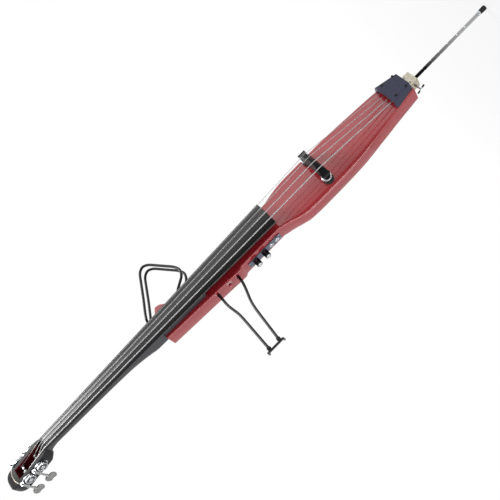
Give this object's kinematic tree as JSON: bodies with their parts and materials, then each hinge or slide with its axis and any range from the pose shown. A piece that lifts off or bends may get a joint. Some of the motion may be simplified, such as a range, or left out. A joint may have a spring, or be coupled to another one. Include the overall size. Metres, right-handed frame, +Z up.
{
  "type": "electric double bass",
  "caption": "Slim solid-body upright electric double bass with endpin, knee rest and bout frame.",
  "frame": {"origin": "middle of the underside of the endpin's rubber foot", "axes": "+Z up to the head, strings face -Y, treble side +X"},
  "size_m": [0.4955, 0.1448, 1.877],
  "materials": {
    "red_lacquer": "high-gloss clear-coated red lacquer",
    "black_lacquer": "satin black lacquer on maple",
    "ebony": "satin ebony",
    "slate_plastic": "fine satin",
    "nickel_plate": "nickel plate",
    "circuit_board": "solder mask",
    "battery_case": "printed steel can, bare",
    "chrome": "polished chrome",
    "cast_zinc": "satin casting",
    "black_rubber": "matt rubber",
    "panel_aluminium": "blue-grey anodised",
    "string_steel": "flat-wound steel",
    "black_enamel": "gloss black enamel on steel tube",
    "black_plastic": "polished black plastic"
  },
  "bodies": {
    "instrument": {"body": "red_lacquer", "neck": "black_lacquer", "pegbox": "black_lacquer", "fingerboard": "ebony", "nut": "ebony", "electronics_cover": "slate_plastic", "tail_cover": "slate_plastic", "neck_bolt_1": "nickel_plate", "neck_bolt_2": "nickel_plate", "cover_screw_1": "nickel_plate", "cover_screw_2": "nickel_plate", "cover_screw_3": "nickel_plate", "cover_screw_4": "nickel_plate", "preamp_board": "circuit_board", "battery": "battery_case", "potentiometer_volume": "chrome", "potentiometer_tone": "chrome", "jack_line": "chrome", "jack_headphone": "chrome", "endpin_bracket": "cast_zinc", "bridge_foot_bass": "black_rubber", "bridge_foot_treble": "black_rubber", "tailpiece": "black_rubber", "control_panel": "panel_aluminium", "string_e": "string_steel", "machine_plate_e": "chrome", "string_a": "string_steel", "machine_plate_a": "chrome", "string_d": "string_steel", "machine_plate_d": "chrome", "string_g": "string_steel", "machine_plate_g": "chrome"},
    "bridge": {"bridge": "black_lacquer", "bridge_pickup": "cast_zinc"},
    "wheel_bass": {"bridge_wheel_bass": "chrome"},
    "wheel_treble": {"bridge_wheel_treble": "chrome"},
    "endpin": {"endpin_rod": "nickel_plate", "endpin_ferrule": "nickel_plate", "endpin_tip": "black_rubber"},
    "endpin_screw": {"endpin_screw": "black_rubber"},
    "knob_volume": {"knob_volume": "black_plastic"},
    "knob_tone": {"knob_tone": "black_plastic"},
    "knee_rest": {"knee_rest_rod_upper": "black_enamel", "knee_rest_rod_lower": "black_enamel", "knee_rest_collar_upper": "black_rubber", "knee_rest_collar_lower": "black_rubber", "knee_rest_bar": "black_enamel"},
    "bout_frame": {"bout_frame": "black_enamel"},
    "battery_door": {"battery_door": "slate_plastic"},
    "key_e": {"tuner_key_e": "nickel_plate"},
    "post_e": {"tuner_post_e": "chrome"},
    "key_a": {"tuner_key_a": "nickel_plate"},
    "post_a": {"tuner_post_a": "chrome"},
    "key_d": {"tuner_key_d": "nickel_plate"},
    "post_d": {"tuner_post_d": "chrome"},
    "key_g": {"tuner_key_g": "nickel_plate"},
    "post_g": {"tuner_post_g": "chrome"}
  },
  "joints": [
    {"name": "key_e_turn", "type": "hinge", "parent": "instrument", "child": "key_e", "pos_m": [-0.0355, -0.017, 1.834], "axis": [0, 1, 0], "continuous": true},
    {"name": "post_e_turn", "type": "hinge", "parent": "instrument", "child": "post_e", "pos_m": [-0.033, -0.017, 1.812], "axis": [1, 0, 0], "continuous": true},
    {"name": "key_a_turn", "type": "hinge", "parent": "instrument", "child": "key_a", "pos_m": [-0.0355, -0.019, 1.786], "axis": [0, 1, 0], "continuous": true},
    {"name": "post_a_turn", "type": "hinge", "parent": "instrument", "child": "post_a", "pos_m": [-0.033, -0.019, 1.764], "axis": [1, 0, 0], "continuous": true},
    {"name": "key_d_turn", "type": "hinge", "parent": "instrument", "child": "key_d", "pos_m": [0.0355, -0.019, 1.786], "axis": [0, 1, 0], "continuous": true},
    {"name": "post_d_turn", "type": "hinge", "parent": "instrument", "child": "post_d", "pos_m": [0.033, -0.019, 1.764], "axis": [1, 0, 0], "continuous": true},
    {"name": "key_g_turn", "type": "hinge", "parent": "instrument", "child": "key_g", "pos_m": [0.0355, -0.017, 1.834], "axis": [0, 1, 0], "continuous": true},
    {"name": "post_g_turn", "type": "hinge", "parent": "instrument", "child": "post_g", "pos_m": [0.033, -0.017, 1.812], "axis": [1, 0, 0], "continuous": true},
    {"name": "bridge_lower", "type": "slide", "parent": "instrument", "child": "bridge", "axis": [0, 1, 0], "range_m": [0, 0.004]},
    {"name": "wheel_bass_turn", "type": "hinge", "parent": "bridge", "child": "wheel_bass", "pos_m": [-0.0465, -0.0457, 0.653], "axis": [0, 1, 0], "range_deg": [0, 1441]},
    {"name": "wheel_treble_turn", "type": "hinge", "parent": "bridge", "child": "wheel_treble", "pos_m": [0.0465, -0.0457, 0.653], "axis": [0, 1, 0], "range_deg": [0, 1441]},
    {"name": "endpin_slide", "type": "slide", "parent": "instrument", "child": "endpin", "axis": [0, 0, 1], "range_m": [0, 0.23]},
    {"name": "endpin_screw_turn", "type": "hinge", "parent": "instrument", "child": "endpin_screw", "pos_m": [-0.02, 0, 0.294], "axis": [-1, 0, 0], "range_deg": [0, 360]},
    {"name": "knob_volume_turn", "type": "hinge", "parent": "instrument", "child": "knob_volume", "pos_m": [-0.0463, 0.003, 0.95], "axis": [-1, 0, 0], "range_deg": [-150, 150]},
    {"name": "knob_tone_turn", "type": "hinge", "parent": "instrument", "child": "knob_tone", "pos_m": [-0.0463, 0.003, 0.917], "axis": [-1, 0, 0], "range_deg": [-150, 150]},
    {"name": "knee_rest_out", "type": "slide", "parent": "instrument", "child": "knee_rest", "axis": [-1, 0, 0], "range_m": [0, 0.02]},
    {"name": "bout_frame_out", "type": "slide", "parent": "instrument", "child": "bout_frame", "axis": [1, 0, 0], "range_m": [0, 0.03]},
    {"name": "battery_door_open", "type": "hinge", "parent": "instrument", "child": "battery_door", "pos_m": [0, 0.025, 1.004], "axis": [-1, 0, 0], "range_deg": [0, 100]}
  ],
  "couplings": [
    {"joint": "key_e_turn", "follows": "post_e_turn", "ratio": 20},
    {"joint": "key_a_turn", "follows": "post_a_turn", "ratio": 20},
    {"joint": "key_d_turn", "follows": "post_d_turn", "ratio": 20},
    {"joint": "key_g_turn", "follows": "post_g_turn", "ratio": 20},
    {"joint": "wheel_bass_turn", "follows": "bridge_lower", "rad_per_m": 6283.2},
    {"joint": "wheel_treble_turn", "follows": "bridge_lower", "rad_per_m": 6283.2}
  ]
}
